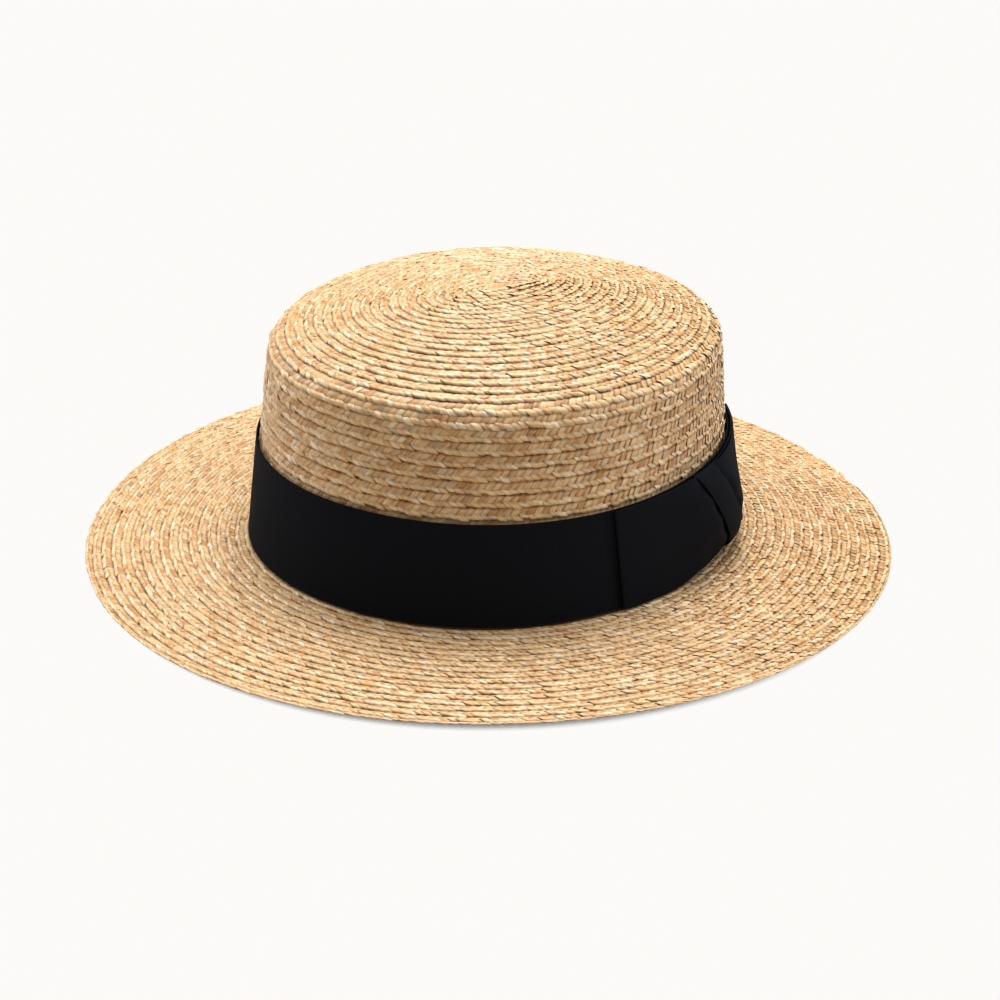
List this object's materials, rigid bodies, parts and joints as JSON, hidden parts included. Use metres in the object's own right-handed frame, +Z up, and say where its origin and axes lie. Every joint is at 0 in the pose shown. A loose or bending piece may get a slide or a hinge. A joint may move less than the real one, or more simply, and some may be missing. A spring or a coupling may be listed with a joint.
{
  "type": "straw boater hat",
  "caption": "Sewn straw boater hat with a domed flat-topped crown, a stiff level brim and a dark grosgrain ribbon band tied in a flat side bow, worn on the head.",
  "frame": {"origin": "on the surface that the hat rests on, under the middle of the head opening", "axes": "+Z up through the crown, -Y to the front of the hat, +X to the wearer's left, where the bow sits"},
  "size_m": [0.3036, 0.32, 0.0995],
  "materials": {
    "straw": "plaited natural straw, matt with a slight sheen",
    "ribbon": "matt ribbed grosgrain"
  },
  "bodies": {
    "root": {"crown": "straw", "brim": "straw", "hat_band": "ribbon", "bow_loop_front": "ribbon", "bow_loop_back": "ribbon", "bow_knot": "ribbon"}
  },
  "joints": []
}
